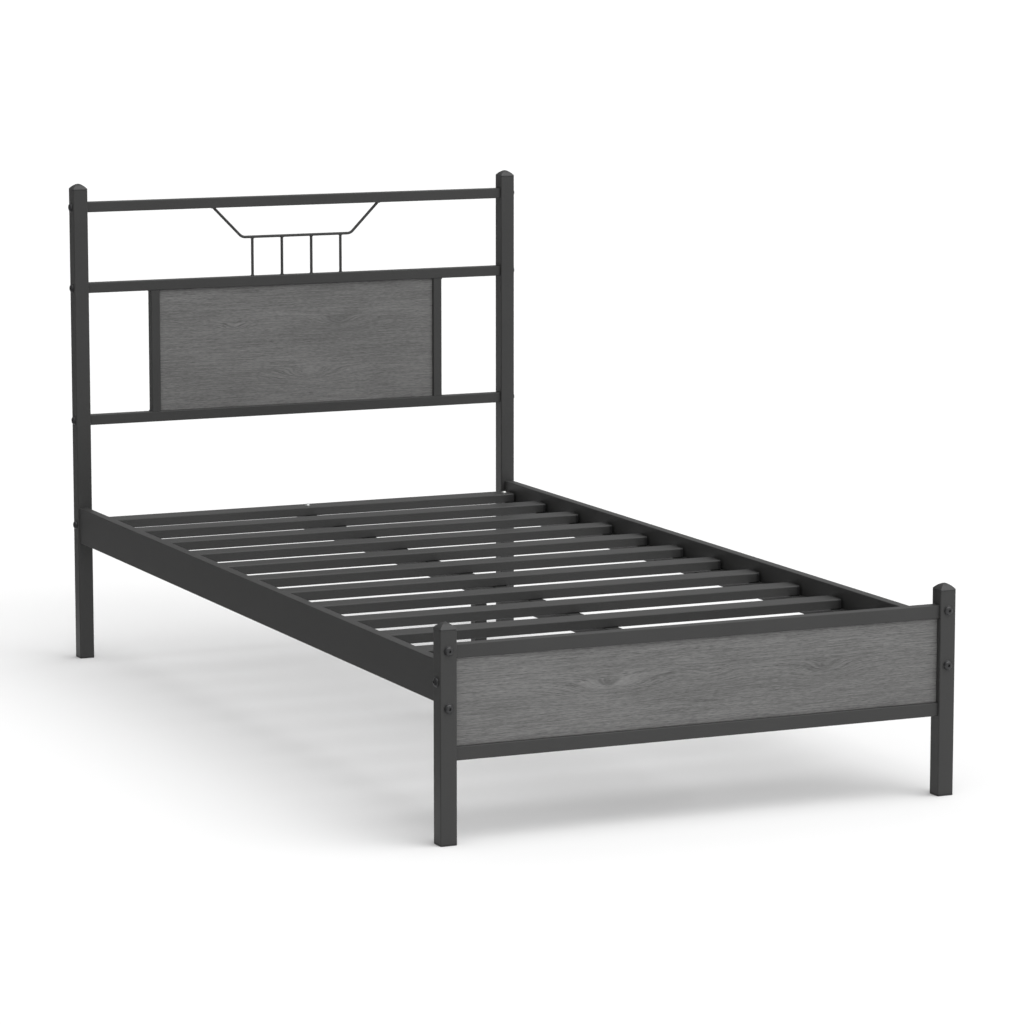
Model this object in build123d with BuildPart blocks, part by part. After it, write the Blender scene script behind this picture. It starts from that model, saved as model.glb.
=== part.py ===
import os

from build123d import *

# A single bed frame: two post-and-rail ends, two side rails, a slatted platform and one centre leg.
# All sizes are in millimetres. +X is to the right seen from the foot, +Y runs from the foot to the
# head and +Z is up. The origin is on the floor under the middle of the bed.

# Driving dimensions
frame_width = 1030.0  # over the posts' outer faces
frame_length = 2000.0  # over the posts' front and back faces
head_tube_top = 1013.0
foot_tube_top = 383.0

# Posts, their caps and their floor plugs
post_size = 32.0
post_wall = 1.2
post_corner = 2.5
cap_skirt = 2.0
cap_rise = 12.0
cap_bulge = 1.6  # of each slope, outwards from a straight line
cap_crown = 9.0  # radius that rounds off the peak
cap_edge = 0.6
plug_flange = 4.0
spigot_length = 14.0
spigot_wall = 2.0
spigot_rib = 1.5
spigot_slack = 0.7  # between a spigot's walls and the tube's inner wall

# Head and foot rails
rail_depth = 20.0
rail_wall = 1.0
rail_corner = 1.8
head_rail_height = 22.0
foot_rail_height = 25.0
head_rail_levels = {"top": 976.0, "middle": 803.0, "lower": 518.0}
foot_rail_levels = {"top": 344.5, "bottom": 162.5}

# Uprights, panels and the wire ornament of the head
upright_width = 20.0
upright_x = 331.0
panel_thickness = 9.0
panel_recess = 5.5  # behind the rails' front faces
wire_radius = 3.0
wire_bar_z = 899.0
wire_bend_x = 127.0
wire_end_x = 192.0
wire_bend_radius = 18.0
wire_overrun = 4.0  # length that is trimmed off at the top rail's underside
spindle_pitch = 68.8
spindle_count = 4

# Panel tabs, welded to the rails behind the panels
tab_width = 22.0
tab_height = 18.0
tab_thickness = 2.0
tab_corner = 4.0
head_tab_x = (-200.0, 200.0)
foot_tab_x = (-350.0, 0.0, 350.0)
screw_radius = 1.75
screw_depth = 7.0
screw_head_radius = 3.6
screw_head_height = 2.2

# Side rails and their end brackets
side_height = 76.0
side_depth = 20.0
side_wall = 1.2
side_level = 291.0
side_set_in = 3.0  # from the posts' outer faces
bracket_thickness = 3.0
bracket_width = 24.0
bracket_low = 231.0
bracket_high = 361.0
bracket_corner = 5.0
tongue_thickness = 5.0
tongue_height = 50.0
tongue_reach = 24.0  # into the post
tongue_corner = 6.0
slot_play = 0.6

# Platform
ledge_leg = 28.0
ledge_drop = 25.0
ledge_thickness = 1.5
ledge_length = 1920.0
platform_z = 289.0  # underside of the slats
slat_width = 50.0
slat_height = 20.0
slat_wall = 0.8
slat_corner = 3.0
slat_length = 960.0
slat_count = 10
cross_bar_y = 930.0
cross_bar_length = 972.0
plug_face = 6.0
plug_tab_thickness = 4.0
plug_tab_width = 14.0
plug_tab_depth = 6.0
plug_spigot = 14.0
plug_slack = 0.2
beam_size = 30.0
beam_length = 1910.0
beam_wall = 1.2
ledge_bolt_x = 473.0

# Centre leg and its levelling foot
leg_size = 25.0
leg_wall = 1.2
leg_plate_length = 84.0
leg_plate_thickness = 3.0
leg_bolt_y = 28.0
leg_plug_flange = 3.0
leg_plug_length = 20.0
pad_radius = 20.0
pad_height = 18.0
pad_rim = 5.0
pad_hub_radius = 11.0
thread_radius = 4.0
thread_slack = 0.05
screw_foot_z = 6.0
screw_top_z = 78.0

# Bolts with a flanged button head
bolt_hole_radius = 4.25
bolt_radius = 4.0
flange_radius = 9.3
flange_thickness = 0.9
button_radius = 8.7
button_height = 5.4
socket_flats = 5.0
socket_depth = 2.8
nut_flats = 13.0
nut_height = 6.5
corner_bolt_levels = (245.0, 347.0)
insert_length = 18.0
insert_slack = 0.1
insert_corner = 0.8
head_bolt_length = 44.0
lock_bolt_length = 20.0
corner_bolt_length = 40.0
small_bolt_radius = 3.0
small_hole_radius = 3.3
small_button_radius = 5.4
small_flange_radius = 6.6
small_button_height = 3.4
small_socket_flats = 4.0
small_nut_flats = 10.0
small_nut_height = 5.0
thread_tail = 1.5  # of a small bolt, past its nut

# Sizes that follow from the ones above
post_x = (frame_width - post_size) / 2
post_y = (frame_length - post_size) / 2
post_inner_x = post_x - post_size / 2
post_inner_y = post_y - post_size / 2
rail_length = 2 * post_inner_x
side_x = frame_width / 2 - side_set_in - side_depth / 2
side_inner_x = side_x - side_depth / 2
side_end_y = post_inner_y - bracket_thickness
head_panel_y = post_y - rail_depth / 2 + panel_recess + panel_thickness / 2
foot_panel_y = -post_y - rail_depth / 2 + panel_recess + panel_thickness / 2
slat_pitch = 2 * cross_bar_y / (slat_count + 1)
slat_y = [-cross_bar_y + slat_pitch * (i + 1) for i in range(slat_count)]
plug_tab_x = (slat_length + plug_face) / 2
beam_z = platform_z - beam_size / 2
leg_plate_z = platform_z - beam_size - leg_plate_thickness
leg_low = pad_height + leg_plug_flange
spindle_x = [spindle_pitch * (i - (spindle_count - 1) / 2) for i in range(spindle_count)]

os.makedirs("parts", exist_ok=True)


def save(part, name):
    part.label = name
    export_step(part, f"parts/{name}.step")


def tube_section(width, height, wall, corner):
    """Hollow rectangular section, drawn in the open sketch at its open locations."""
    RectangleRounded(width, height, corner)
    inner_corner = max(corner - wall, 0.3)
    RectangleRounded(width - 2 * wall, height - 2 * wall, inner_corner, mode=Mode.SUBTRACT)


# Posts: square tubes, drilled for the bolts and slotted for the side rails' tongues
def make_post(name, x, y, top, rail_bolt_levels, front_bolt_levels):
    outward = 1 if x > 0 else -1
    bed_side = -1 if y > 0 else 1
    with BuildPart() as post:
        with BuildSketch(Plane.XY.offset(plug_flange)):
            with Locations((x, y)):
                tube_section(post_size, post_size, post_wall, post_corner)
        extrude(amount=top - plug_flange)
        for level in rail_bolt_levels:
            with BuildSketch(Plane.YZ.offset(x - post_size / 2)):
                with Locations((y, level)):
                    Circle(bolt_hole_radius)
            extrude(amount=post_size, mode=Mode.SUBTRACT)
        for level in front_bolt_levels:
            with BuildSketch(Plane.XZ.offset(-y - post_size / 2)):
                with Locations((x, level)):
                    Circle(bolt_hole_radius)
            extrude(amount=post_size, mode=Mode.SUBTRACT)
        with BuildSketch(Plane.YZ.offset(x + outward * (post_size / 2 - post_wall * 2))):
            with Locations((y, side_level)):
                Circle(bolt_hole_radius)
        extrude(amount=outward * post_wall * 2, mode=Mode.SUBTRACT)
        with BuildSketch(Plane.XZ.offset(-y - bed_side * (post_size / 2 - post_wall * 2))):
            with Locations((x, side_level)):
                Rectangle(tongue_thickness + slot_play, tongue_height + slot_play)
        extrude(amount=-bed_side * post_wall * 2, mode=Mode.SUBTRACT)
    save(post.part, name)


sides = (("left", -1), ("right", 1))
for side, sign in sides:
    make_post(f"head_post_{side}", sign * post_x, post_y, head_tube_top, head_rail_levels.values(), ())
    make_post(f"foot_post_{side}", sign * post_x, -post_y, foot_tube_top, (), corner_bolt_levels)


# A spigot is the ribbed box of a cap or plug that grips the inside of a tube
def make_cap(name, x, y, tube_top):
    bore = post_size - 2 * post_wall
    box = bore - 2 * spigot_slack
    with BuildPart() as cap:
        for plane, mode in ((Plane.XZ, Mode.ADD), (Plane.YZ, Mode.INTERSECT)):
            with BuildSketch(plane):
                with BuildLine():
                    left, right, peak = -post_size / 2, post_size / 2, cap_skirt + cap_rise
                    Polyline((left, cap_skirt), (left, 0), (right, 0), (right, cap_skirt))
                    SagittaArc((right, cap_skirt), (0, peak), -cap_bulge)
                    SagittaArc((0, peak), (left, cap_skirt), -cap_bulge)
                face = make_face()
                fillet(face.vertices().sort_by(Axis.Y)[-1], cap_crown)
            extrude(amount=post_size / 2, both=True, mode=mode)
        fillet(cap.edges().filter_by(Axis.Z), post_corner)
        fillet(cap.edges().group_by(Axis.Z)[0], cap_edge)
        with BuildSketch(Plane.XY):
            Rectangle(box, box)
            Rectangle(box - 2 * spigot_wall, box - 2 * spigot_wall, mode=Mode.SUBTRACT)
        extrude(amount=-spigot_length)
        for level in (0.3, 0.65):
            with BuildSketch(Plane.XY.offset(-spigot_length * level)):
                RectangleRounded(bore - 0.1, bore - 0.1, post_corner - post_wall)
                Rectangle(box, box, mode=Mode.SUBTRACT)
            extrude(amount=-spigot_rib)
    save(Location((x, y, tube_top)) * cap.part, name)


def make_floor_plug(name, x, y):
    bore = post_size - 2 * post_wall
    box = bore - 2 * spigot_slack
    with BuildPart() as plug:
        with BuildSketch(Plane.XY):
            RectangleRounded(post_size, post_size, post_corner)
        extrude(amount=plug_flange)
        chamfer(plug.edges().group_by(Axis.Z)[0], cap_edge)
        with BuildSketch(Plane.XY.offset(plug_flange)):
            Rectangle(box, box)
            Rectangle(box - 2 * spigot_wall, box - 2 * spigot_wall, mode=Mode.SUBTRACT)
        extrude(amount=spigot_length)
        for level in (0.2, 0.55):
            with BuildSketch(Plane.XY.offset(plug_flange + spigot_length * level)):
                RectangleRounded(bore - 0.1, bore - 0.1, post_corner - post_wall)
                Rectangle(box, box, mode=Mode.SUBTRACT)
            extrude(amount=spigot_rib)
    save(Location((x, y, 0)) * plug.part, name)


for end, y, top in (("head", post_y, head_tube_top), ("foot", -post_y, foot_tube_top)):
    for side, sign in sides:
        make_cap(f"{end}_cap_{side}", sign * post_x, y, top)
        make_floor_plug(f"{end}_floor_plug_{side}", sign * post_x, y)


# Head and foot rails: rectangular tubes between the posts. Tabs behind the panels hold their screws.
def make_rail(name, y, level, height, tab_x=(), tab_y=0.0, tab_side=0):
    with BuildPart() as rail:
        with BuildSketch(Plane.YZ.offset(-rail_length / 2)):
            with Locations((y, level)):
                tube_section(rail_depth, height, rail_wall, rail_corner)
        extrude(amount=rail_length)
        for x in tab_x:
            middle = level + tab_side * (height + tab_height) / 2
            with BuildSketch(Plane.XZ.offset(-tab_y - tab_thickness)):
                with Locations((x, middle - tab_side * rail_wall / 2)):
                    Rectangle(tab_width, tab_height + rail_wall)
                with Locations((x, middle)):
                    Circle(screw_radius, mode=Mode.SUBTRACT)
            extrude(amount=tab_thickness)
        if tab_x:
            short = rail.edges().filter_by(lambda e: abs(e.length - tab_thickness) < 0.01)
            tips = short.filter_by(Axis.Y).sort_by(Axis.Z, reverse=tab_side > 0)
            fillet(tips[: 2 * len(tab_x)], tab_corner)
    save(rail.part, name)


head_tab_y = head_panel_y + panel_thickness / 2
foot_tab_y = foot_panel_y + panel_thickness / 2
head_tabs = (head_tab_x, head_tab_y)
foot_tabs = (foot_tab_x, foot_tab_y)
make_rail("head_top_rail", post_y, head_rail_levels["top"], head_rail_height)
make_rail("head_middle_rail", post_y, head_rail_levels["middle"], head_rail_height, *head_tabs, -1)
make_rail("head_lower_rail", post_y, head_rail_levels["lower"], head_rail_height, *head_tabs, 1)
make_rail("foot_top_rail", -post_y, foot_rail_levels["top"], foot_rail_height, *foot_tabs, -1)
make_rail("foot_bottom_rail", -post_y, foot_rail_levels["bottom"], foot_rail_height, *foot_tabs, 1)

panel_top = head_rail_levels["middle"] - head_rail_height / 2
panel_bottom = head_rail_levels["lower"] + head_rail_height / 2
for side, sign in sides:
    with BuildPart() as upright:
        with BuildSketch(Plane.XY.offset(panel_bottom)):
            with Locations((sign * upright_x, post_y)):
                tube_section(upright_width, rail_depth, rail_wall, rail_corner)
        extrude(amount=panel_top - panel_bottom)
    save(upright.part, f"head_upright_{side}")


# Panels: boards with a pilot hole for each tab's screw
def make_panel(name, width, low, high, y, screw_points):
    with BuildPart() as panel:
        with BuildSketch(Plane.XZ.offset(-y - panel_thickness / 2)):
            with Locations((0, (low + high) / 2)):
                Rectangle(width, high - low)
        extrude(amount=panel_thickness)
        with BuildSketch(Plane.XZ.offset(-y - panel_thickness / 2)):
            with Locations(*screw_points):
                Circle(screw_radius)
        extrude(amount=screw_depth, mode=Mode.SUBTRACT)
    save(panel.part, name)


foot_panel_top = foot_rail_levels["top"] - foot_rail_height / 2
foot_panel_bottom = foot_rail_levels["bottom"] + foot_rail_height / 2
head_panel_width = 2 * upright_x - upright_width
head_screw_z = (panel_bottom + tab_height / 2, panel_top - tab_height / 2)
foot_screw_z = (foot_panel_bottom + tab_height / 2, foot_panel_top - tab_height / 2)
head_screws = [(x, z) for x in head_tab_x for z in head_screw_z]
foot_screws = [(x, z) for x in foot_tab_x for z in foot_screw_z]
make_panel("head_panel", head_panel_width, panel_bottom, panel_top, head_panel_y, head_screws)
make_panel("foot_panel", rail_length, foot_panel_bottom, foot_panel_top, foot_panel_y, foot_screws)

with BuildPart() as panel_screws:
    for points, y in ((head_screws, head_tab_y), (foot_screws, foot_tab_y)):
        for x, z in points:
            with BuildSketch(Plane.XZ.offset(-y - tab_thickness)):
                with Locations((x, z)):
                    Circle(screw_radius)
            extrude(amount=tab_thickness + screw_depth)
            with BuildSketch(Plane.XZ.offset(-y - tab_thickness - screw_head_height)):
                with Locations((x, z)):
                    Circle(screw_head_radius)
            extrude(amount=screw_head_height)
save(panel_screws.part, "panel_screws")

# Wire ornament: one bent rod hung from the top rail, and spindles from it down to the middle rail
top_rail_under = head_rail_levels["top"] - head_rail_height / 2
wire_slope = (top_rail_under - wire_bar_z) / (wire_end_x - wire_bend_x)
wire_start = (wire_end_x + wire_overrun, top_rail_under + wire_overrun * wire_slope)
with BuildPart() as bent_rod:
    with BuildLine(Plane.XZ.offset(-post_y)) as wire_path:
        FilletPolyline(
            (-wire_start[0], wire_start[1]),
            (-wire_bend_x, wire_bar_z),
            (wire_bend_x, wire_bar_z),
            (wire_start[0], wire_start[1]),
            radius=wire_bend_radius,
        )
    wire = wire_path.wire()
    with BuildSketch(Plane(origin=wire @ 0, z_dir=wire % 0)):
        Circle(wire_radius)
    sweep()
    split(bisect_by=Plane.XY.offset(top_rail_under), keep=Keep.BOTTOM)
save(bent_rod.part, "head_bent_rod")

middle_rail_top = head_rail_levels["middle"] + head_rail_height / 2
for number, x in enumerate(spindle_x, start=1):
    with BuildPart() as spindle:
        with BuildSketch(Plane.XY.offset(middle_rail_top)):
            with Locations((x, post_y)):
                Circle(wire_radius)
        extrude(amount=wire_bar_z - middle_rail_top)
        with BuildSketch(Plane.YZ.offset(x - 2 * wire_radius)):
            with Locations((post_y, wire_bar_z)):
                Circle(wire_radius)
        extrude(amount=4 * wire_radius, mode=Mode.SUBTRACT)
    save(spindle.part, f"head_spindle_{number}")

# Side rails: deep rectangular tubes between the end brackets
for side, sign in sides:
    with BuildPart() as side_rail:
        with BuildSketch(Plane.XZ.offset(-side_end_y)):
            with Locations((sign * side_x, side_level)):
                tube_section(side_depth, side_height, side_wall, rail_corner)
        extrude(amount=2 * side_end_y)
    save(side_rail.part, f"side_rail_{side}")


# End brackets: a plate welded on the side rail's end, with a tapped tongue that enters the post.
# The foot's plates are taller, for the two bolts through the front of each foot post.
def make_bracket(name, sign, end):
    face_y = end * post_inner_y
    with BuildPart() as bracket:
        with BuildSketch(Plane.XZ.offset(-face_y)):
            if end < 0:
                with Locations((sign * post_x, (bracket_low + bracket_high) / 2)):
                    RectangleRounded(bracket_width, bracket_high - bracket_low, bracket_corner)
                with Locations(*[(sign * post_x, level) for level in corner_bolt_levels]):
                    Circle(bolt_hole_radius, mode=Mode.SUBTRACT)
            else:
                with Locations((sign * side_x, side_level)):
                    RectangleRounded(side_depth, side_height, rail_corner)
        extrude(amount=end * bracket_thickness)
        with BuildSketch(Plane.YZ.offset(sign * post_x - tongue_thickness / 2)):
            with Locations((face_y + end * (tongue_reach - tongue_corner) / 2, side_level)):
                Rectangle(tongue_reach + tongue_corner, tongue_height)
            with Locations((end * post_y, side_level)):
                Circle(thread_radius + thread_slack, mode=Mode.SUBTRACT)
        extrude(amount=tongue_thickness)
        short = bracket.edges().filter_by(lambda e: abs(e.length - tongue_thickness) < 0.01)
        tips = short.filter_by(Axis.X).sort_by(Axis.Y, reverse=end > 0)
        fillet(tips[:2], tongue_corner)
    save(bracket.part, name)


for end_name, end in (("head", 1), ("foot", -1)):
    for side, sign in sides:
        make_bracket(f"rail_bracket_{end_name}_{side}", sign, end)

# Slat ledges: angles on the inside of the side rails, slotted for the slats' plugs
for side, sign in sides:
    with BuildPart() as ledge:
        with BuildSketch(Plane.XZ.offset(-ledge_length / 2)):
            with BuildLine():
                Polyline(
                    (sign * side_inner_x, platform_z),
                    (sign * (side_inner_x - ledge_leg), platform_z),
                    (sign * (side_inner_x - ledge_leg), platform_z - ledge_thickness),
                    (sign * (side_inner_x - ledge_thickness), platform_z - ledge_thickness),
                    (sign * (side_inner_x - ledge_thickness), platform_z - ledge_drop),
                    (sign * side_inner_x, platform_z - ledge_drop),
                    close=True,
                )
            make_face()
        extrude(amount=ledge_length)
        with BuildSketch(Plane.XY.offset(platform_z)):
            with Locations(*[(sign * plug_tab_x, y) for y in slat_y]):
                Rectangle(plug_tab_thickness + slot_play, plug_tab_width + slot_play)
            with Locations(*[(sign * ledge_bolt_x, y) for y in (-cross_bar_y, cross_bar_y)]):
                Circle(small_hole_radius)
        extrude(amount=-ledge_thickness, mode=Mode.SUBTRACT)
    save(ledge.part, f"slat_ledge_{side}")


# Slats and cross bars: flat tubes across the bed. The cross bars' ends are closed by welded plates.
def make_bar(name, y, length, closed=False, bolt_x=()):
    with BuildPart() as bar:
        with BuildSketch(Plane.YZ.offset(-length / 2)):
            with Locations((y, platform_z + slat_height / 2)):
                tube_section(slat_width, slat_height, slat_wall, slat_corner)
        extrude(amount=length)
        if closed:
            for start in (-length / 2, length / 2 - slat_wall):
                with BuildSketch(Plane.YZ.offset(start)):
                    with Locations((y, platform_z + slat_height / 2)):
                        RectangleRounded(slat_width, slat_height, slat_corner)
                extrude(amount=slat_wall)
        if bolt_x:
            with BuildSketch(Plane.XY.offset(platform_z)):
                with Locations(*[(x, y) for x in bolt_x]):
                    Circle(small_hole_radius)
            extrude(amount=slat_height, mode=Mode.SUBTRACT)
    save(bar.part, name)


for number, y in enumerate(slat_y, start=1):
    make_bar(f"slat_{number:02d}", y, slat_length)
for end_name, end in (("head", 1), ("foot", -1)):
    bolts_across = (-ledge_bolt_x, 0, ledge_bolt_x)
    make_bar(f"{end_name}_cross_bar", end * cross_bar_y, cross_bar_length, True, bolts_across)

with BuildPart() as slat_end_plugs:
    box_width = slat_width - 2 * slat_wall - plug_slack
    box_height = slat_height - 2 * slat_wall - plug_slack
    for sign in (-1, 1):
        for y in slat_y:
            with BuildSketch(Plane.YZ.offset(sign * slat_length / 2)):
                with Locations((y, platform_z + slat_height / 2)):
                    RectangleRounded(slat_width, slat_height, slat_corner)
            extrude(amount=sign * plug_face)
            with BuildSketch(Plane.YZ.offset(sign * slat_length / 2)):
                with Locations((y, platform_z + slat_height / 2)):
                    tube_section(box_width, box_height, spigot_wall, slat_corner - slat_wall)
            extrude(amount=-sign * plug_spigot)
            with BuildSketch(Plane.XY.offset(platform_z + slat_corner)):
                with Locations((sign * plug_tab_x, y)):
                    Rectangle(plug_tab_thickness, plug_tab_width)
            extrude(amount=-plug_tab_depth - slat_corner)
save(slat_end_plugs.part, "slat_end_plugs")

# Centre beam: a square tube under the slats, closed at its ends
beam_bolt_y = (-cross_bar_y, -leg_bolt_y, leg_bolt_y, cross_bar_y)
with BuildPart() as centre_beam:
    with BuildSketch(Plane.XZ.offset(-beam_length / 2)):
        with Locations((0, beam_z)):
            tube_section(beam_size, beam_size, beam_wall, rail_corner)
    extrude(amount=beam_length)
    for start in (-beam_length / 2, beam_length / 2 - beam_wall):
        with BuildSketch(Plane.XZ.offset(start)):
            with Locations((0, beam_z)):
                RectangleRounded(beam_size, beam_size, rail_corner)
        extrude(amount=beam_wall)
    with BuildSketch(Plane.XY.offset(platform_z)):
        with Locations(*[(0, y) for y in beam_bolt_y]):
            Circle(small_hole_radius)
    extrude(amount=-beam_size, mode=Mode.SUBTRACT)
save(centre_beam.part, "centre_beam")

# Centre leg: a tube under a bolted plate, with a threaded plug that holds the levelling foot
with BuildPart() as centre_leg:
    with BuildSketch(Plane.XY.offset(leg_low)):
        tube_section(leg_size, leg_size, leg_wall, rail_corner)
    extrude(amount=leg_plate_z - leg_low)
    with BuildSketch(Plane.XY.offset(leg_plate_z)):
        RectangleRounded(beam_size, leg_plate_length, bracket_corner)
        with Locations((0, -leg_bolt_y), (0, leg_bolt_y)):
            Circle(small_hole_radius, mode=Mode.SUBTRACT)
    extrude(amount=leg_plate_thickness)
save(centre_leg.part, "centre_leg")

with BuildPart() as leg_plug:
    with BuildSketch(Plane.XY.offset(pad_height)):
        RectangleRounded(leg_size, leg_size, rail_corner)
    extrude(amount=leg_plug_flange)
    with BuildSketch(Plane.XY.offset(leg_low)):
        bore = leg_size - 2 * leg_wall - insert_slack
        RectangleRounded(bore, bore, insert_corner)
    extrude(amount=leg_plug_length)
    with BuildSketch(Plane.XY.offset(pad_height)):
        Circle(thread_radius + thread_slack)
    extrude(amount=leg_plug_flange + leg_plug_length, mode=Mode.SUBTRACT)
save(leg_plug.part, "centre_leg_plug")

with BuildPart() as levelling_pad:
    with BuildSketch(Plane.XZ):
        with BuildLine():
            Polyline(
                (0, screw_foot_z),
                (0, 0),
                (pad_radius - 1, 0),
                (pad_radius, 1),
                (pad_radius, pad_rim - 1),
            )
            shoulder = (pad_hub_radius, 2 * pad_rim)
            RadiusArc((pad_radius, pad_rim - 1), shoulder, pad_radius - pad_hub_radius)
            Polyline(
                shoulder,
                (pad_hub_radius, pad_height),
                (thread_radius, pad_height),
                (thread_radius, screw_foot_z),
                (0, screw_foot_z),
            )
        make_face()
    revolve(axis=Axis.Z)
save(levelling_pad.part, "levelling_pad")

with BuildPart() as levelling_screw:
    with BuildSketch(Plane.XY.offset(screw_foot_z)):
        Circle(thread_radius)
    extrude(amount=screw_top_z - screw_foot_z)
    chamfer(levelling_screw.edges().group_by(Axis.Z)[-1], 1)
save(levelling_screw.part, "levelling_screw")


# Bolts and nuts. A bolt is made with its seat at the origin and its head up, then set in each hole.
def button_bolt(length, shank, button, height, flange, socket, depth):
    with BuildPart() as bolt:
        with BuildSketch(Plane.XZ):
            with BuildLine():
                Polyline(
                    (0, height),
                    (0, -length),
                    (shank - 0.8, -length),
                    (shank, -length + 0.8),
                    (shank, 0),
                    (flange, 0),
                    (flange, flange_thickness * 0.6),
                    (button, flange_thickness),
                )
                crown = (socket * 0.75, height)
                ThreePointArc((button, flange_thickness), (button * 0.82, height * 0.76), crown)
                Line(crown, (0, height))
            make_face()
        revolve(axis=Axis.Z)
        with BuildSketch(Plane.XY.offset(height)):
            RegularPolygon(socket / 2, 6, major_radius=False)
        extrude(amount=-depth, mode=Mode.SUBTRACT)
    return bolt.part


def large_bolt(length):
    return button_bolt(
        length, bolt_radius, button_radius, button_height, flange_radius, socket_flats, socket_depth
    )


def small_bolt(length):
    return button_bolt(
        length,
        small_bolt_radius,
        small_button_radius,
        small_button_height,
        small_flange_radius,
        small_socket_flats,
        socket_depth * 0.7,
    )


def hex_nut(flats, height, hole):
    with BuildPart() as nut:
        with BuildSketch(Plane.XY):
            RegularPolygon(flats / 2, 6, major_radius=False)
            Circle(hole, mode=Mode.SUBTRACT)
        extrude(amount=height)
    return nut.part


def save_group(name, placed):
    with BuildPart() as group:
        for piece, planes in placed:
            with Locations(*planes):
                add(piece)
    save(group.part, name)


def side_planes(points):
    """Planes on the posts' outer faces, looking out."""
    return [
        Plane(origin=(sign * frame_width / 2, y, z), x_dir=(0, 1, 0), z_dir=(sign, 0, 0))
        for sign in (-1, 1)
        for y, z in points
    ]


rail_bolt_points = [(post_y, level) for level in head_rail_levels.values()]
lock_bolt_points = [(end * post_y, side_level) for end in (-1, 1)]
save_group("head_rail_bolts", [(large_bolt(head_bolt_length), side_planes(rail_bolt_points))])
save_group("rail_lock_bolts", [(large_bolt(lock_bolt_length), side_planes(lock_bolt_points))])

corner_points = [(sign * post_x, level) for sign in (-1, 1) for level in corner_bolt_levels]
corner_planes = [
    Plane(origin=(x, -frame_length / 2, z), x_dir=(1, 0, 0), z_dir=(0, -1, 0)) for x, z in corner_points
]
nut_planes = [Plane(origin=(x, -side_end_y, z), x_dir=(0, 0, 1), z_dir=(0, 1, 0)) for x, z in corner_points]
save_group("foot_corner_bolts", [(large_bolt(corner_bolt_length), corner_planes)])
save_group("foot_corner_nuts", [(hex_nut(nut_flats, nut_height, bolt_radius + thread_slack), nut_planes)])

with BuildPart() as rail_inserts:
    insert_width = rail_depth - 2 * rail_wall - insert_slack
    insert_height = head_rail_height - 2 * rail_wall - insert_slack
    for sign in (-1, 1):
        for level in head_rail_levels.values():
            with BuildSketch(Plane.YZ.offset(sign * post_inner_x)):
                with Locations((post_y, level)):
                    RectangleRounded(insert_width, insert_height, insert_corner)
                    Circle(bolt_radius + thread_slack, mode=Mode.SUBTRACT)
            extrude(amount=-sign * insert_length)
save(rail_inserts.part, "head_rail_inserts")

bar_top = platform_z + slat_height
ledge_under = platform_z - ledge_thickness
beam_under = platform_z - beam_size
ledge_bolts = [(x, y) for x in (-ledge_bolt_x, ledge_bolt_x) for y in (-cross_bar_y, cross_bar_y)]
beam_bolts = [(0, -cross_bar_y), (0, cross_bar_y)]
leg_bolts = [(0, -leg_bolt_y), (0, leg_bolt_y)]
# Each kind: its points, the level of its seat and the level that its nut is tightened against
platform_fixings = (
    (ledge_bolts, bar_top, ledge_under),
    (beam_bolts, bar_top, beam_under),
    (leg_bolts, platform_z, leg_plate_z),
)
small_nut = hex_nut(small_nut_flats, small_nut_height, small_bolt_radius + thread_slack)
placed_bolts = []
placed_nuts = []
for points, seat, under in platform_fixings:
    bolt = small_bolt(seat - under + small_nut_height + thread_tail)
    placed_bolts.append((bolt, [Plane(origin=(x, y, seat)) for x, y in points]))
    placed_nuts.append((small_nut, [Plane(origin=(x, y, under - small_nut_height)) for x, y in points]))
save_group("platform_bolts", placed_bolts)
save_group("platform_nuts", placed_nuts)
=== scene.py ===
import math

import bmesh
import bpy
from mathutils import Euler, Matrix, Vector


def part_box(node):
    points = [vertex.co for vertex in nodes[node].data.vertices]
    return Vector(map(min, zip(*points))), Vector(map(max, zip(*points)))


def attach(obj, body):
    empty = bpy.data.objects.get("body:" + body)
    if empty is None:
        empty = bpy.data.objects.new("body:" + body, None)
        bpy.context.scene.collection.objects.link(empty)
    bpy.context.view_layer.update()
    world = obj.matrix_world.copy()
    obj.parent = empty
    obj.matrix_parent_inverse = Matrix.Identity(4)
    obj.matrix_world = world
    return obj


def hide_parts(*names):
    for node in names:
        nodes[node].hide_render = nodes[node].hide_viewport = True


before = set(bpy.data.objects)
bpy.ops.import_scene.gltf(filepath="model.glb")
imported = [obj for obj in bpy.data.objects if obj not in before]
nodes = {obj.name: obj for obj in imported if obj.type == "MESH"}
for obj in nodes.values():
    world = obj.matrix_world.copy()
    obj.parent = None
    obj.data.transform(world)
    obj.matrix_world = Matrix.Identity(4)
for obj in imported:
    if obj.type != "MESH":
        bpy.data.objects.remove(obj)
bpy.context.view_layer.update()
print("frame loaded:", len(nodes), "parts")


# Camera, light and floor

camera = {
    "location": (-3.39467, -7.68689, 1.69498),
    "lookDown": 8.61,  # degrees below level
    "turn": -24.28,  # degrees from straight ahead
    "lens": 149.84,
}

studio = {
    "floorSize": 400,
    "floorColour": (0.83, 0.83, 0.83, 1),
    "sheetRoughness": 0.9,
    "skyColour": (1.0, 1.0, 1.0, 1),
    "skyShade": 0.12,  # strength away from the lamp
    "skyBright": 0.95,  # strength on the lamp's side
    "skyFacing": (0.42, -0.46, 0.78),  # where the sky is brightest
    "skyFrom": -0.5,  # facing at which the shade is full, -1 to 1
    "keyStrength": 2.05,
    "keyTilt": (20.5, 16, 0),  # degrees
    "keySpread": 66,  # degrees across the lamp, for soft shadows
    "flagColour": (0.16, 0.16, 0.16, 1),
    "flagSize": (24, 60, 1),
    "flagPlace": (-12.7, 26, 0.004),
}


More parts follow.
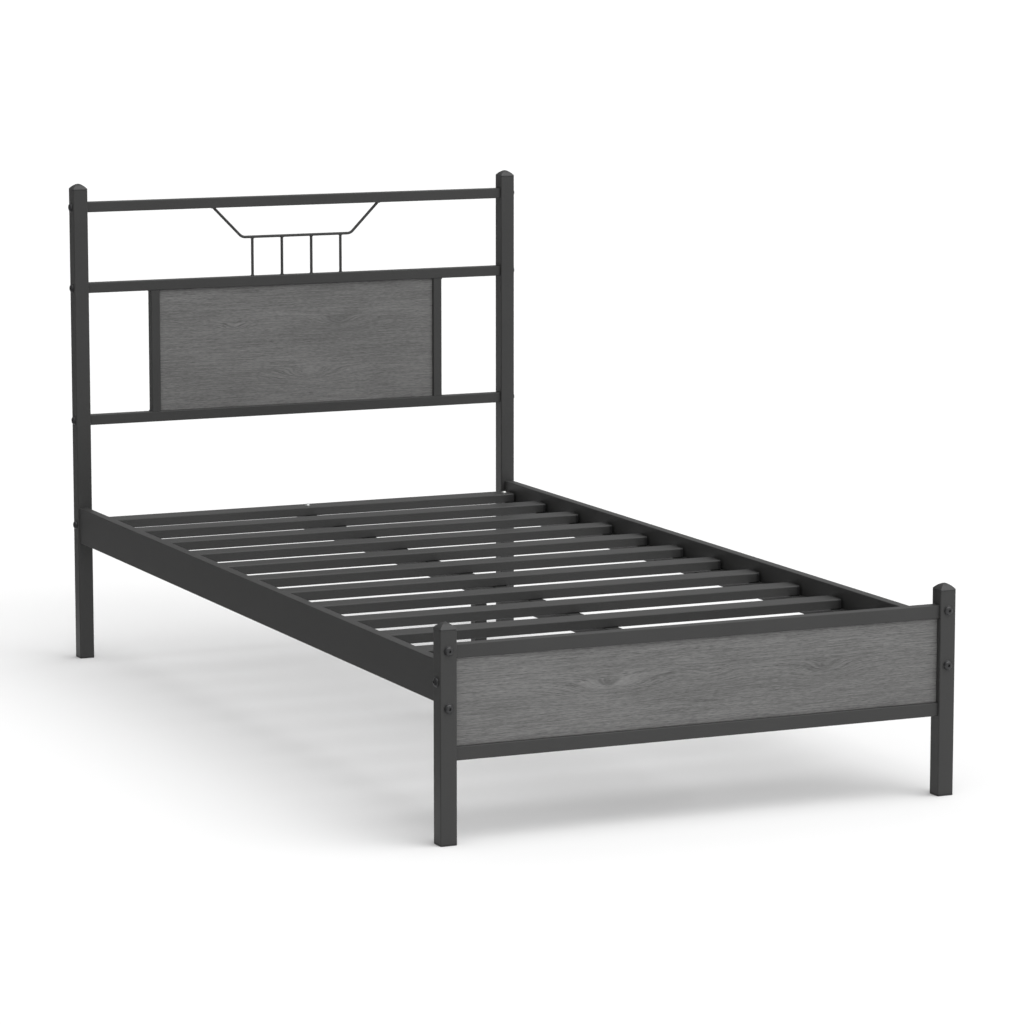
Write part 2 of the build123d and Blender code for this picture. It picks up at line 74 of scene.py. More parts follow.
def placeCamera():
    turn = (math.radians(90 - camera["lookDown"]), 0, math.radians(camera["turn"]))
    bpy.ops.object.camera_add(location=camera["location"], rotation=turn)
    view = bpy.context.object
    view.name = "bed_camera"
    view.data.lens = camera["lens"]
    view.data.clip_end = 1000
    bpy.context.scene.camera = view


def lightStudio():
    sky = bpy.data.worlds.new("studio_sky")
    sky.use_nodes = True
    tree = sky.node_tree
    glow = tree.nodes["Background"]
    glow.inputs["Color"].default_value = studio["skyColour"]
    direction = tree.nodes.new("ShaderNodeTexCoord")
    facing = tree.nodes.new("ShaderNodeVectorMath")
    facing.operation = "DOT_PRODUCT"
    facing.inputs[1].default_value = studio["skyFacing"]
    tree.links.new(direction.outputs["Generated"], facing.inputs[0])
    strength = tree.nodes.new("ShaderNodeMapRange")
    strength.inputs["From Min"].default_value = studio["skyFrom"]
    strength.inputs["To Min"].default_value = studio["skyShade"]
    strength.inputs["To Max"].default_value = studio["skyBright"]
    tree.links.new(facing.outputs["Value"], strength.inputs["Value"])
    tree.links.new(strength.outputs["Result"], glow.inputs["Strength"])
    bpy.context.scene.world = sky
    tilt = [math.radians(angle) for angle in studio["keyTilt"]]
    bpy.ops.object.light_add(type="SUN", location=(0, 0, 4), rotation=tilt)
    key = bpy.context.object
    key.name = "key_light"
    key.data.energy = studio["keyStrength"]
    key.data.angle = math.radians(studio["keySpread"])
    bpy.context.scene.view_settings.view_transform = "Standard"


def laySheet(name, colour):
    bpy.ops.mesh.primitive_plane_add(size=1)
    sheet = bpy.context.object
    sheet.name = name
    paint = bpy.data.materials.new(name + "_paint")
    paint.use_nodes = True
    shader = paint.node_tree.nodes["Principled BSDF"]
    shader.inputs["Base Color"].default_value = colour
    shader.inputs["Roughness"].default_value = studio["sheetRoughness"]
    shader.inputs["Specular IOR Level"].default_value = 0.0
    sheet.data.materials.append(paint)
    return sheet


def layFloor():
    floor = laySheet("studio_floor", studio["floorColour"])
    floor.scale = (studio["floorSize"], studio["floorSize"], 1)


def hangFlag():
    # Only reflections see it: it keeps the bright floor out of the paint on the left
    flag = laySheet("studio_flag", studio["flagColour"])
    flag.scale = studio["flagSize"]
    flag.location = studio["flagPlace"]
    flag.visible_camera = False
    flag.visible_diffuse = False
    flag.visible_shadow = False
    flag.visible_transmission = False


placeCamera()
lightStudio()
layFloor()
hangFlag()
print("camera, light and floor ready")


# Shader groups that more than one finish shares

def newGroup(name, inputs, outputs):
    group = bpy.data.node_groups.new(name, "ShaderNodeTree")
    for label, kind, value in inputs:
        socket = group.interface.new_socket(name=label, in_out="INPUT", socket_type=kind)
        socket.default_value = value
    for label, kind in outputs:
        group.interface.new_socket(name=label, in_out="OUTPUT", socket_type=kind)
    return group, group.nodes.new("NodeGroupInput"), group.nodes.new("NodeGroupOutput")


def addNode(tree, kind, values=None, **settings):
    node = tree.nodes.new(kind)
    for setting, value in settings.items():
        setattr(node, setting, value)
    for socket, value in (values or {}).items():
        if isinstance(value, bpy.types.NodeSocket):
            tree.links.new(value, node.inputs[socket])
        else:
            node.inputs[socket].default_value = value
    return node


def calculate(tree, operation, first, second=0.0):
    return addNode(tree, "ShaderNodeMath", {0: first, 1: second}, operation=operation).outputs[0]


def stretch(tree, low, high, mask, newLow=0.0, newHigh=1.0):
    values = {"Value": mask, "From Min": low, "From Max": high, "To Min": newLow, "To Max": newHigh}
    return addNode(tree, "ShaderNodeMapRange", values, clamp=True).outputs["Result"]


def blendColours(tree, mask, first, second):
    values = {0: mask, 6: first, 7: second}
    return addNode(tree, "ShaderNodeMix", values, data_type="RGBA").outputs[2]


def makeSurfaceGrain():
    # Fine even texture of a sprayed or moulded skin, with a slow change of tone across the piece
    group, given, result = newGroup(
        "surfaceGrain",
        (
            ("Grain Scale", "NodeSocketFloat", 900.0),
            ("Speck Scale", "NodeSocketFloat", 2600.0),
            ("Tone Scale", "NodeSocketFloat", 5.0),
        ),
        (("Height", "NodeSocketFloat"), ("Specks", "NodeSocketFloat"), ("Tone", "NodeSocketFloat")),
    )
    place = addNode(group, "ShaderNodeTexCoord").outputs["Object"]
    grainValues = {"Vector": place, "Scale": given.outputs["Grain Scale"], "Detail": 2.0}
    grain = addNode(group, "ShaderNodeTexNoise", grainValues).outputs["Fac"]
    speckValues = {"Vector": place, "Scale": given.outputs["Speck Scale"], "Detail": 1.0}
    specks = addNode(group, "ShaderNodeTexNoise", speckValues).outputs["Fac"]
    toneValues = {"Vector": place, "Scale": given.outputs["Tone Scale"], "Detail": 4.0, "Roughness": 0.6}
    tone = addNode(group, "ShaderNodeTexNoise", toneValues).outputs["Fac"]
    group.links.new(grain, result.inputs["Height"])
    group.links.new(stretch(group, 0.56, 0.74, specks), result.inputs["Specks"])
    group.links.new(stretch(group, 0.3, 0.7, tone), result.inputs["Tone"])
    return group


woodGrain = {
    # Features per metre, along the board and up it
    "wander": (2.2, 9.0), "shiver": (18.0, 90.0), "ring": (1.4, 330.0), "streak": (12.0, 840.0),
    "fibre": (90.0, 1200.0), "pore": (55.0, 1000.0), "tone": (2.5, 14.0),
    "wanderBy": 0.009, "shiverBy": 0.0011,  # metres that they move the rings
    # The part of each noise that is drawn out to the full range
    "ringRange": (0.34, 0.66), "streakRange": (0.37, 0.63), "fibreRange": (0.3, 0.7),
    "poreRange": (0.6, 0.72), "toneRange": (0.3, 0.7),
    "poreDepth": 0.5,
}


def makeWoodFigure():
    # Flat-sawn figure: a height field whose level lines are the growth rings. It runs straight along
    # the board, and swells into an eye at each of three places. The fibres stay straight.
    eyes = ("Eye A", "Eye B", "Eye C")
    inputs = [(eye, "NodeSocketVector", (0.0, 0.0, 0.0)) for eye in eyes]
    inputs += [(f"{eye} Size", "NodeSocketVector", (0.06, 0.0, 0.02)) for eye in eyes]
    inputs += [(f"{eye} Lift", "NodeSocketFloat", 0.02) for eye in eyes]
    inputs += [("Seed", "NodeSocketFloat", 0.0)]
    labels = ("Ring", "Streak", "Fibre", "Pore", "Tone", "Height")
    outputs = [(label, "NodeSocketFloat") for label in labels]
    group, given, result = newGroup("woodFigure", inputs, outputs)
    place = addNode(group, "ShaderNodeTexCoord").outputs["Object"]
    axes = addNode(group, "ShaderNodeSeparateXYZ", {0: place}).outputs
    along, up = axes["X"], axes["Z"]
    seed = given.outputs["Seed"]

    def noise(kind, upValue, detail, roughness=0.55):
        alongScale, upScale = woodGrain[kind]
        far = calculate(group, "MULTIPLY", along, alongScale)
        high = calculate(group, "MULTIPLY", upValue, upScale)
        spot = addNode(group, "ShaderNodeCombineXYZ", {"X": far, "Y": seed, "Z": high}).outputs[0]
        values = {"Vector": spot, "Scale": 1.0, "Detail": detail, "Roughness": roughness}
        return addNode(group, "ShaderNodeTexNoise", values).outputs["Fac"]

    wander = calculate(group, "MULTIPLY", noise("wander", up, 1.0), woodGrain["wanderBy"])
    shiver = calculate(group, "MULTIPLY", noise("shiver", up, 2.0), woodGrain["shiverBy"])
    field = calculate(group, "ADD", up, calculate(group, "ADD", wander, shiver))
    for eye in eyes:
        fromEye = {0: place, 1: given.outputs[eye]}
        offset = addNode(group, "ShaderNodeVectorMath", fromEye, operation="SUBTRACT")
        onFace = {0: offset.outputs[0], 1: (1.0, 0.0, 1.0)}
        flat = addNode(group, "ShaderNodeVectorMath", onFace, operation="MULTIPLY")
        size = given.outputs[f"{eye} Size"]
        scaled = addNode(group, "ShaderNodeVectorMath", {0: flat.outputs[0], 1: size}, operation="DIVIDE")
        reach = addNode(group, "ShaderNodeVectorMath", {0: scaled.outputs[0]}, operation="LENGTH")
        fall = calculate(group, "MULTIPLY", calculate(group, "POWER", reach.outputs["Value"], 2.0), -1.0)
        rise = calculate(group, "EXPONENT", fall)
        swell = calculate(group, "MULTIPLY", rise, given.outputs[f"{eye} Lift"])
        field = calculate(group, "ADD", field, swell)

    ring = noise("ring", field, 2.0, 0.6)
    streak = noise("streak", field, 2.0, 0.65)
    fibre = noise("fibre", up, 2.0, 0.65)
    pore = stretch(group, *woodGrain["poreRange"], noise("pore", field, 1.0))
    tone = noise("tone", up, 3.0)
    group.links.new(stretch(group, *woodGrain["ringRange"], ring), result.inputs["Ring"])
    group.links.new(stretch(group, *woodGrain["streakRange"], streak), result.inputs["Streak"])
    group.links.new(stretch(group, *woodGrain["fibreRange"], fibre), result.inputs["Fibre"])
    group.links.new(pore, result.inputs["Pore"])
    group.links.new(stretch(group, *woodGrain["toneRange"], tone), result.inputs["Tone"])
    furrow = calculate(group, "MULTIPLY", pore, woodGrain["poreDepth"])
    relief = calculate(group, "SUBTRACT", calculate(group, "ADD", fibre, streak), furrow)
    group.links.new(relief, result.inputs["Height"])
    return group


surfaceGrain = makeSurfaceGrain()
woodFigure = makeWoodFigure()


# Finishes

def startMaterial(name):
    material = bpy.data.materials.new(name)
    material.use_nodes = True
    return material.node_tree, material.node_tree.nodes["Principled BSDF"], material


def addBump(tree, shader, height, strength, distance):
    bump = addNode(tree, "ShaderNodeBump", {"Height": height, "Strength": strength, "Distance": distance})
    tree.links.new(bump.outputs["Normal"], shader.inputs["Normal"])


skinBumpDepth = 0.0004


def makeSkin(name, look):
    # A sprayed, moulded or plated skin: two tones, fine specks, and a grain that breaks the shine
    tree, shader, material = startMaterial(name)
    grain = addNode(tree, "ShaderNodeGroup", node_tree=surfaceGrain)
    grain.inputs["Grain Scale"].default_value = look["grainScale"]
    grain.inputs["Speck Scale"].default_value = look["speckScale"]
    grain.inputs["Tone Scale"].default_value = look["toneScale"]
    tone = blendColours(tree, grain.outputs["Tone"], look["dark"], look["light"])
    speckMask = calculate(tree, "MULTIPLY", grain.outputs["Specks"], look["speckAmount"])
    specked = blendColours(tree, speckMask, tone, look["speck"])
    tree.links.new(specked, shader.inputs["Base Color"])
    dull = stretch(tree, 0.0, 1.0, grain.outputs["Tone"], look["glossy"], look["dull"])
    tree.links.new(dull, shader.inputs["Roughness"])
    shader.inputs["Metallic"].default_value = look["metallic"]
    shader.inputs["Specular IOR Level"].default_value = look["specular"]
    addBump(tree, shader, grain.outputs["Height"], look["bump"], skinBumpDepth)
    return material


powderCoat = {
    "dark": (0.0385, 0.0385, 0.038, 1), "light": (0.0455, 0.0455, 0.045, 1),
    "speck": (0.075, 0.075, 0.074, 1), "speckAmount": 0.35,
    "grainScale": 750.0, "speckScale": 2200.0, "toneScale": 4.0,
    "glossy": 0.42, "dull": 0.5, "metallic": 0.0, "specular": 0.24, "bump": 0.12,
}
capPlastic = {
    "dark": (0.028, 0.028, 0.0282, 1), "light": (0.035, 0.035, 0.0352, 1),
    "speck": (0.05, 0.05, 0.05, 1), "speckAmount": 0.2,
    "grainScale": 1600.0, "speckScale": 3000.0, "toneScale": 14.0,
    "glossy": 0.34, "dull": 0.44, "metallic": 0.0, "specular": 0.3, "bump": 0.1,
}
plainPlastic = {
    "dark": (0.012, 0.012, 0.0125, 1), "light": (0.02, 0.02, 0.02, 1),
    "speck": (0.05, 0.05, 0.05, 1), "speckAmount": 0.3,
    "grainScale": 1300.0, "speckScale": 2500.0, "toneScale": 18.0,
    "glossy": 0.45, "dull": 0.62, "metallic": 0.0, "specular": 0.45, "bump": 0.2,
}
blackBolt = {
    "dark": (0.016, 0.016, 0.017, 1), "light": (0.024, 0.024, 0.025, 1),
    "speck": (0.09, 0.09, 0.09, 1), "speckAmount": 0.3,
    "grainScale": 1900.0, "speckScale": 3200.0, "toneScale": 40.0,
    "glossy": 0.3, "dull": 0.42, "metallic": 0.25, "specular": 0.6, "bump": 0.1,
}
zincPlate = {
    "dark": (0.40, 0.41, 0.42, 1), "light": (0.58, 0.585, 0.57, 1),
    "speck": (0.72, 0.7, 0.62, 1), "speckAmount": 0.4,
    "grainScale": 1200.0, "speckScale": 900.0, "toneScale": 60.0,
    "glossy": 0.28, "dull": 0.46, "metallic": 1.0, "specular": 0.5, "bump": 0.12,
}
skins = {
    "powder_coat": makeSkin("powder_coat_charcoal", powderCoat),
    "post_cap_plastic": makeSkin("cap_plastic_black", capPlastic),
    "black_plastic": makeSkin("moulded_plastic_black", plainPlastic),
    "black_bolt": makeSkin("bolt_black", blackBolt),
    "zinc_hardware": makeSkin("zinc_plate", zincPlate),
}

laminate = {
    "dark": (0.058, 0.0577, 0.0568, 1),
    "body": (0.131, 0.1303, 0.1287, 1),
    "light": (0.245, 0.2435, 0.24, 1),
    "pore": (0.05, 0.0496, 0.049, 1),
    "calm": 0.82,  # share of the body colour over the rings
    "streaks": 0.5, "hairs": 0.42, "pores": 0.45, "weather": (0.9, 1.1),
    "dull": 0.62, "glossy": 0.5, "specular": 0.22, "bump": 0.35, "bumpDepth": 0.0003,
}


def makeLaminate(name, figure):
    # Grey wood-grain foil with an embossed grain
    tree, shader, material = startMaterial(name)
    grain = addNode(tree, "ShaderNodeGroup", node_tree=woodFigure)
    for socket, value in figure.items():
        grain.inputs[socket].default_value = value
    banded = blendColours(tree, grain.outputs["Ring"], laminate["dark"], laminate["light"])
    calmed = blendColours(tree, laminate["calm"], banded, laminate["body"])
    streaks = blendColours(tree, grain.outputs["Streak"], laminate["dark"], laminate["light"])
    streaked = blendColours(tree, laminate["streaks"], calmed, streaks)
    hairs = blendColours(tree, grain.outputs["Fibre"], laminate["dark"], laminate["light"])
    fibred = blendColours(tree, laminate["hairs"], streaked, hairs)
    poreMask = calculate(tree, "MULTIPLY", grain.outputs["Pore"], laminate["pores"])
    pored = blendColours(tree, poreMask, fibred, laminate["pore"])
    weather = stretch(tree, 0.0, 1.0, grain.outputs["Tone"], *laminate["weather"])
    toned = addNode(tree, "ShaderNodeHueSaturation", {"Value": weather, "Color": pored}).outputs["Color"]
    tree.links.new(toned, shader.inputs["Base Color"])
    shine = stretch(tree, 0.0, 1.0, grain.outputs["Fibre"], laminate["dull"], laminate["glossy"])
    tree.links.new(shine, shader.inputs["Roughness"])
    shader.inputs["Specular IOR Level"].default_value = laminate["specular"]
    addBump(tree, shader, grain.outputs["Height"], laminate["bump"], laminate["bumpDepth"])
    return material


footFigure = {
    "Eye A": (-0.175, 0.0, 0.252), "Eye A Size": (0.12, 1.0, 0.022), "Eye A Lift": 0.027,
    "Eye B": (0.248, 0.0, 0.253), "Eye B Size": (0.06, 1.0, 0.018), "Eye B Lift": 0.02,
    "Eye C": (0.02, 0.0, 0.262), "Eye C Size": (0.05, 1.0, 0.014), "Eye C Lift": 0.011,
    "Seed": 3.7,
}
headFigure = {
    "Eye A": (0.09, 0.0, 0.703), "Eye A Size": (0.07, 1.0, 0.015), "Eye A Lift": 0.018,
    "Eye B": (-0.15, 0.0, 0.70), "Eye B Size": (0.04, 1.0, 0.012), "Eye B Lift": 0.012,
    "Eye C": (0.02, 0.0, 0.59), "Eye C Size": (0.09, 1.0, 0.016), "Eye C Lift": 0.022,
    "Seed": 11.2,
}
boardSkins = {
    "foot_panel": makeLaminate("laminate_foot", footFigure),
    "head_panel": makeLaminate("laminate_head", headFigure),
}

for node in nodes.values():
    slot = node.material_slots[0].material.name
    if slot in skins:
        node.material_slots[0].material = skins[slot]
print("finishes ready")


# Modelling helpers

mergeDistance = 0.000002
onPlane = 0.00001  # how near to a plane a point counts as on it


def deselectAll():
    bpy.ops.object.select_all(action="DESELECT")


def openPiece(piece):
    deselectAll()
    piece.select_set(True)
    bpy.context.view_layer.objects.active = piece
    bpy.ops.object.mode_set(mode="EDIT")


def settle(piece):
    # Puts the piece's place into its mesh
    deselectAll()
    piece.select_set(True)
    bpy.context.view_layer.objects.active = piece
    bpy.ops.object.transform_apply(location=True, rotation=True, scale=True)


def pickPoints(piece, test):
    mesh = bmesh.from_edit_mesh(piece.data)
    mesh.select_mode = {"VERT"}
    for point in mesh.verts:
        point.select = test(point.co)
    mesh.select_flush_mode()
    bmesh.update_edit_mesh(piece.data)


def tidyShell(piece):
    openPiece(piece)
    bpy.ops.mesh.select_all(action="SELECT")
    bpy.ops.mesh.remove_doubles(threshold=mergeDistance)
    bpy.ops.mesh.normals_make_consistent(inside=False)
    bpy.ops.object.mode_set(mode="OBJECT")


def applyModifiers(piece):
    deselectAll()
    piece.select_set(True)
    bpy.context.view_layer.objects.active = piece
    for modifier in list(piece.modifiers):
        bpy.ops.object.modifier_apply(modifier=modifier.name)


def joinPieces(pieces, name):
    deselectAll()
    for piece in pieces:
        piece.select_set(True)
    bpy.context.view_layer.objects.active = pieces[0]
    if len(pieces) > 1:
        bpy.ops.object.join()
    pieces[0].name = name
    return pieces[0]


def placeCopy(model, name, place, turn=(0, 0, 0), size=(1, 1, 1)):
    copy = model.copy()
    copy.data = model.data.copy()
    copy.name = name
    bpy.context.collection.objects.link(copy)
    copy.location = place
    copy.rotation_euler = turn
    copy.scale = size
    settle(copy)
    return copy


def dress(piece, body, skin, sharpest=32):
    piece.data.materials.clear()
    piece.data.materials.append(skin)
    deselectAll()
    piece.select_set(True)
    bpy.context.view_layer.objects.active = piece
    bpy.ops.object.shade_smooth_by_angle(angle=math.radians(sharpest))
    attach(piece, body)


def removeModel(model):
    bpy.data.objects.remove(model, do_unlink=True)


# Boards: foil-faced boards with banded edges

board = {"edgeRound": 0.0007, "bandLine": 0.0011, "bandGroove": 0.00018}
tab = {
    "thickness": 0.002,
    "halfHeight": 0.009,
    "places": {"head_panel": (-0.2, 0.2), "foot_panel": (-0.35, 0.0, 0.35)},
}


def makeBoard(nodeName, name):
    low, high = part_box(nodeName)
    middle = (Vector(low) + Vector(high)) / 2
    size = Vector(high) - Vector(low)
    bpy.ops.mesh.primitive_cube_add(size=1, location=middle)
    piece = bpy.context.object
    piece.name = name
    piece.scale = size
    settle(piece)
    openPiece(piece)
    bpy.ops.mesh.select_all(action="SELECT")
    bpy.ops.mesh.bevel(offset=board["edgeRound"], segments=3, affect="EDGES")
    for face in (low[1], high[1]):
        pickPoints(piece, lambda spot: abs(spot.y - face) < onPlane)
        bpy.ops.mesh.inset(thickness=board["bandLine"], depth=0)
        bpy.ops.mesh.inset(thickness=board["bandGroove"], depth=-board["bandGroove"])
        bpy.ops.mesh.inset(thickness=board["bandGroove"], depth=board["bandGroove"])
    bpy.ops.object.mode_set(mode="OBJECT")
    tidyShell(piece)
    dress(piece, "bed_frame", boardSkins[nodeName], 40)
    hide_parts(nodeName)


makeBoard("foot_panel", "foot_board")
makeBoard("head_panel", "head_board")
print("boards done")


# Welds: beads of overlapping ripples, each kind modelled once

weld = {
    "length": 0.018,
    "radius": 0.0022,
    "ripple": 0.0018,  # from one ripple to the next
    "swell": 1.22,
    "endWidth": 0.5,  # share of the bead's width at its ends
    "sides": 10,
    "ringTube": 0.0011,
    "ringStandOff": 0.3,  # from the rod's skin to the tube's middle, as a share of the tube's radius
    "ringRipples": 14,
    "ringSwell": (1.05, 1.05, 1.25),
    "railLift": 0.0002,
    "barLift": 0.0004,
    "barSize": (0.96, 0.96, 0.9),
    "bentRodInset": 0.0042,  # from the bent rod's outermost side
    "bentRodSize": (1.38, 1, 1),
    "ledgeThickness": 0.0015,
    "plateThickness": 0.003,
    "uprightLength": 0.0155,
    "tabLength": 0.018,
    "bracketLength": 0.015,
    "legLength": 0.020,
    "stitchLength": 0.026,
    "stitches": 9,
}


def modelBead():
    # Starts as a disc that is drawn out step by step, wider on every other step, along +X
    bpy.ops.mesh.primitive_circle_add(
        vertices=weld["sides"], radius=weld["radius"] * weld["endWidth"], fill_type="NGON",
        location=(-weld["length"] / 2, 0, 0), rotation=(0, math.radians(90), 0),
    )
    piece = bpy.context.object
    piece.name = "bead_model"
    settle(piece)
    openPiece(piece)
    bpy.ops.mesh.select_all(action="SELECT")
    steps = 2 * round(weld["length"] / weld["ripple"])
    stride = weld["length"] / steps
    width = weld["endWidth"]
    for step in range(1, steps + 1):
        bpy.ops.mesh.extrude_region_move(TRANSFORM_OT_translate={"value": (stride, 0, 0)})
        wanted = weld["swell"] if step % 2 else 1.0
        if step == steps:
            wanted = weld["endWidth"]
        spot = (-weld["length"] / 2 + step * stride, 0, 0)
        bpy.ops.transform.resize(value=(1, wanted / width, wanted / width), center_override=spot)
        width = wanted
    bpy.ops.object.mode_set(mode="OBJECT")
    tidyShell(piece)
    return piece


def modelRing():
    # A bead that closes round a rod of the wire's size, rippled all the way round
    rodRadius = (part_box("head_spindle_1")[1][0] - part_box("head_spindle_1")[0][0]) / 2
    bpy.ops.mesh.primitive_torus_add(
        major_radius=rodRadius + weld["ringTube"] * weld["ringStandOff"], minor_radius=weld["ringTube"],
        major_segments=2 * weld["ringRipples"], minor_segments=8,
    )
    ring = bpy.context.object
    ring.name = "ring_model"
    openPiece(ring)
    bpy.ops.mesh.select_mode(type="VERT")
    step = math.pi / weld["ringRipples"]
    pickPoints(ring, lambda spot: round(math.atan2(spot.y, spot.x) / step) % 2 == 0)
    bpy.ops.transform.resize(value=weld["ringSwell"], center_override=(0, 0, 0))
    bpy.ops.object.mode_set(mode="OBJECT")
    tidyShell(ring)
    return ring


beadModel = modelBead()
ringModel = modelRing()
quarter = math.radians(90)


def bead(place, turn, length):
    return placeCopy(beadModel, "bead", place, turn, (length / weld["length"], 1, 1))


def uprightWelds():
    # Beads in the corners where the uprights meet the rails
    beads = []
    for side in ("left", "right"):
        low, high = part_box(f"head_upright_{side}")
        middle = (low[1] + high[1]) / 2
        for x in (low[0], high[0]):
            for z in (low[2], high[2]):
                beads.append(bead((x, middle, z), (0, 0, quarter), weld["uprightLength"]))
    return joinPieces(beads, "upright_welds")


def wireWelds():
    # Beads round the rods where they meet the rails and the bar
    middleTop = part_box("head_spindle_1")[0][2]
    rodLow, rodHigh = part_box("head_bent_rod")
    barUnder = rodLow[2]
    rings = []
    for number in range(1, 5):
        low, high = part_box(f"head_spindle_{number}")
        centre = ((low[0] + high[0]) / 2, (low[1] + high[1]) / 2)
        upper = (*centre, middleTop + weld["railLift"])
        lower = (*centre, barUnder + weld["barLift"])
        rings.append(placeCopy(ringModel, "ring", upper))
        rings.append(placeCopy(ringModel, "ring", lower, size=weld["barSize"]))
    middleY = (rodLow[1] + rodHigh[1]) / 2
    for x in (rodLow[0] + weld["bentRodInset"], rodHigh[0] - weld["bentRodInset"]):
        place = (x, middleY, rodHigh[2] - weld["railLift"])
        rings.append(placeCopy(ringModel, "ring", place, size=weld["bentRodSize"]))
    return joinPieces(rings, "wire_welds")


def tabWelds():
    # Beads behind the panels, where the screw tabs leave the rails: the upper row, then the lower
    beads = []
    for panel, places in tab["places"].items():
        low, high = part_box(panel)
        y = high[1] + tab["thickness"]
        for z in (high[2], low[2]):
            for x in places:
                beads.append(bead((x, y, z), (0, 0, 0), weld["tabLength"]))
    return joinPieces(beads, "tab_welds")


def ledgeWelds():
    # Short stitches along the lower edge of each slat ledge
    beads = []
    for side in ("left", "right"):
        low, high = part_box(f"slat_ledge_{side}")
        halfWall = weld["ledgeThickness"] / 2
        x = low[0] + halfWall if side == "left" else high[0] - halfWall
        for number in range(weld["stitches"]):
            y = low[1] + (high[1] - low[1]) * (number + 0.5) / weld["stitches"]
            beads.append(bead((x, y, low[2]), (0, 0, quarter), weld["stitchLength"]))
    return joinPieces(beads, "ledge_welds")


def bracketWelds():
    # Beads over and under each side rail where it meets the foot bracket's plate
    beads = []
    for side in ("left", "right"):
        low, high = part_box(f"side_rail_{side}")
        middle = (low[0] + high[0]) / 2
        for z in (low[2], high[2]):
            beads.append(bead((middle, low[1], z), (0, 0, 0), weld["bracketLength"]))
    return joinPieces(beads, "bracket_welds")


def legWelds():
    # Beads round the centre leg under its plate
    low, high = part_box("centre_leg_plug")
    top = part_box("centre_leg")[1][2] - weld["plateThickness"]
    half = (high[0] - low[0]) / 2
    beads = []
    for sign in (-1, 1):
        beads.append(bead((0, sign * half, top), (0, 0, 0), weld["legLength"]))
        beads.append(bead((sign * half, 0, top), (0, 0, quarter), weld["legLength"]))
    return joinPieces(beads, "leg_welds")


for makeWelds in (uprightWelds, wireWelds, tabWelds, ledgeWelds, bracketWelds, legWelds):
    dress(makeWelds(), "bed_frame", skins["powder_coat"], 60)
removeModel(beadModel)
removeModel(ringModel)
print("welds done")


# Panel screws: pan heads with a cross recess

screw = {
    "headRadius": 0.0036, "headHeight": 0.0022, "shankRadius": 0.00175, "shankLength": 0.009,
    "recessWidth": 0.0009, "recessReach": 0.0019, "recessDepth": 0.0014, "recessTaper": 0.45,
    "headRound": 0.55,  # share of the head's height that is rounded
    "tipShare": 0.3, "tipSize": 0.15,  # shares of the shank's length and width
}


def modelScrew():
    # Head up along +Z with its seat at the origin
    bpy.ops.mesh.primitive_cylinder_add(
        vertices=48, radius=screw["headRadius"], depth=screw["headHeight"],
        location=(0, 0, screw["headHeight"] / 2),
    )
    piece = bpy.context.object
    piece.name = "screw_model"
    settle(piece)
    openPiece(piece)
    pickPoints(piece, lambda spot: spot.z > screw["headHeight"] - onPlane)
    rounding = screw["headHeight"] * screw["headRound"]
    bpy.ops.mesh.bevel(offset=rounding, segments=6, profile=0.5, affect="EDGES")
    pickPoints(piece, lambda spot: spot.z < onPlane)
    bpy.ops.mesh.inset(thickness=screw["headRadius"] - screw["shankRadius"], depth=0)
    for share in (1 - screw["tipShare"], screw["tipShare"]):
        drop = (0, 0, -screw["shankLength"] * share)
        bpy.ops.mesh.extrude_region_move(TRANSFORM_OT_translate={"value": drop})
    tip = (screw["tipSize"], screw["tipSize"], 1)
    bpy.ops.transform.resize(value=tip, center_override=(0, 0, -screw["shankLength"]))
    bpy.ops.object.mode_set(mode="OBJECT")
    tidyShell(piece)
    cutters = []
    for turn in (0, quarter):
        bpy.ops.mesh.primitive_cube_add(size=1, location=(0, 0, screw["headHeight"]), rotation=(0, 0, turn))
        cutter = bpy.context.object
        cutter.scale = (2 * screw["recessReach"], screw["recessWidth"], 2 * screw["recessDepth"])
        settle(cutter)
        openPiece(cutter)
        pickPoints(cutter, lambda spot: spot.z < screw["headHeight"])
        taper = (screw["recessTaper"], screw["recessTaper"], 1)
        bpy.ops.transform.resize(value=taper, center_override=(0, 0, screw["headHeight"]))
        bpy.ops.object.mode_set(mode="OBJECT")
        cutters.append(cutter)
    for cutter in cutters:
        cut = piece.modifiers.new("recess", "BOOLEAN")
        cut.operation = "DIFFERENCE"
        cut.solver = "EXACT"
        cut.object = cutter
        applyModifiers(piece)
        removeModel(cutter)
    return piece


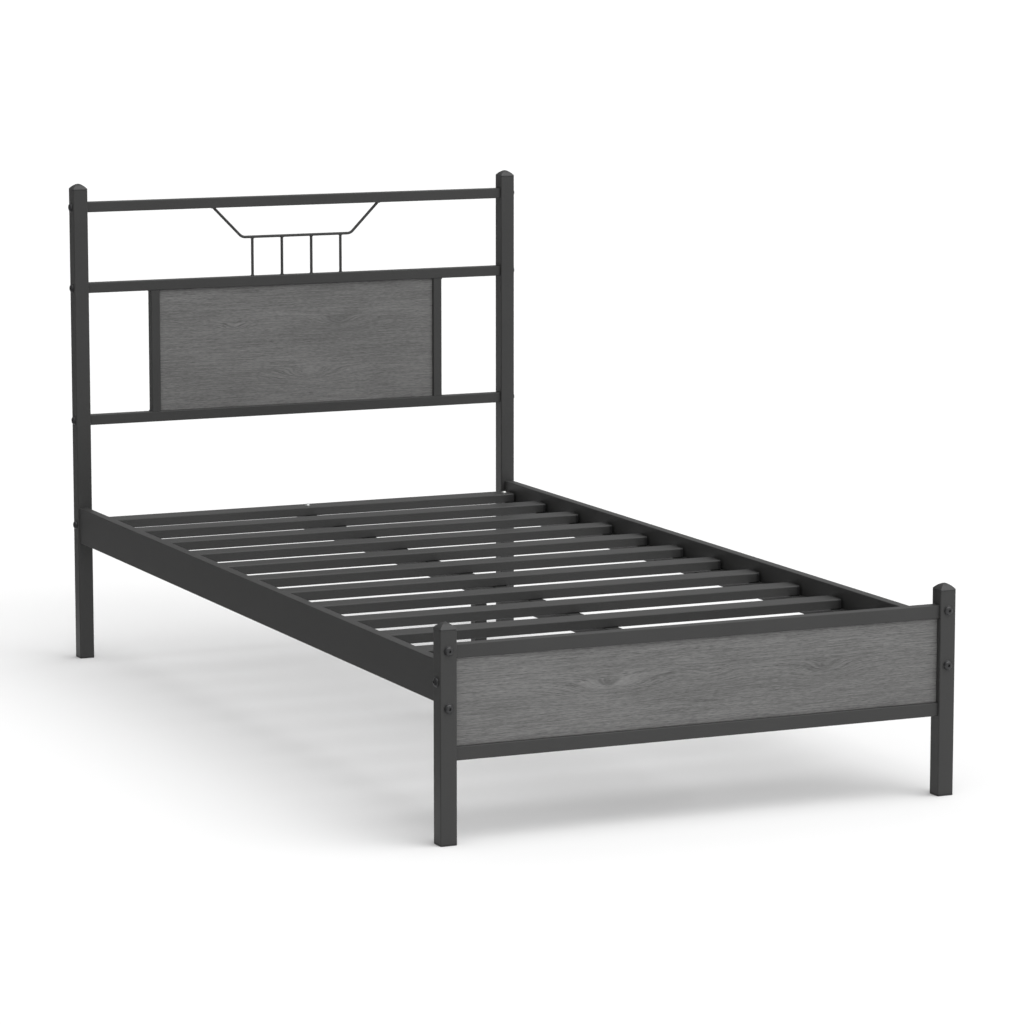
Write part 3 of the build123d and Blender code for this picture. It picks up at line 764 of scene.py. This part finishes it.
def makePanelScrews():
    model = modelScrew()
    copies = []
    for panel, places in tab["places"].items():
        low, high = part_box(panel)
        for x in places:
            for z in (low[2] + tab["halfHeight"], high[2] - tab["halfHeight"]):
                turn = math.radians((x * 1000 + z * 3000) % 90)  # each stops where it was driven to
                facing = Euler((-quarter, 0, 0)).to_matrix() @ Euler((0, 0, turn)).to_matrix()
                place = (x, high[1] + tab["thickness"], z)
                copies.append(placeCopy(model, "panel_screw", place, facing.to_euler()))
    removeModel(model)
    screws = joinPieces(copies, "cross_head_screws")
    dress(screws, "bed_frame", skins["zinc_hardware"])
    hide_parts("panel_screws")


makePanelScrews()
print("panel screws done")


# Levelling screw with its thread

thread = {
    "pitch": 0.00125, "crest": 0.004, "root": 0.0033, "stepsPerTurn": 20, "endBevel": 0.0009,
    "ridgeShare": 0.48,  # half of the ridge's foot, as a share of the pitch
}


def makeLevellingScrew():
    low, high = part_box("levelling_screw")
    length = high[2] - low[2]
    turns = int(length / thread["pitch"]) - 2
    bpy.ops.mesh.primitive_cylinder_add(
        vertices=40, radius=thread["root"], depth=length, location=(0, 0, (low[2] + high[2]) / 2)
    )
    core = bpy.context.object
    settle(core)
    openPiece(core)
    pickPoints(core, lambda spot: spot.z > high[2] - onPlane)
    bpy.ops.mesh.bevel(offset=thread["endBevel"], segments=2, affect="EDGES")
    bpy.ops.object.mode_set(mode="OBJECT")
    depth = thread["crest"] - thread["root"]
    halfRidge = thread["pitch"] * thread["ridgeShare"]
    bpy.ops.mesh.primitive_circle_add(
        vertices=4, radius=halfRidge, location=(thread["crest"] - depth, 0, low[2] + thread["pitch"]),
        rotation=(quarter, 0, 0),
    )
    ridge = bpy.context.object
    ridge.scale = (depth / halfRidge, 1, 1)
    settle(ridge)
    winding = ridge.modifiers.new("winding", "SCREW")
    winding.axis = "Z"
    winding.screw_offset = thread["pitch"]
    winding.iterations = turns
    winding.steps = thread["stepsPerTurn"]
    winding.render_steps = thread["stepsPerTurn"]
    winding.use_merge_vertices = False
    applyModifiers(ridge)
    openPiece(ridge)
    bpy.ops.mesh.select_all(action="SELECT")
    bpy.ops.mesh.fill_holes(sides=0)
    bpy.ops.object.mode_set(mode="OBJECT")
    tidyShell(ridge)
    piece = joinPieces([core, ridge], "threaded_screw")
    dress(piece, "levelling_foot", skins["zinc_hardware"])
    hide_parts("levelling_screw")


makeLevellingScrew()
print("levelling screw done")

print("whole bed done")
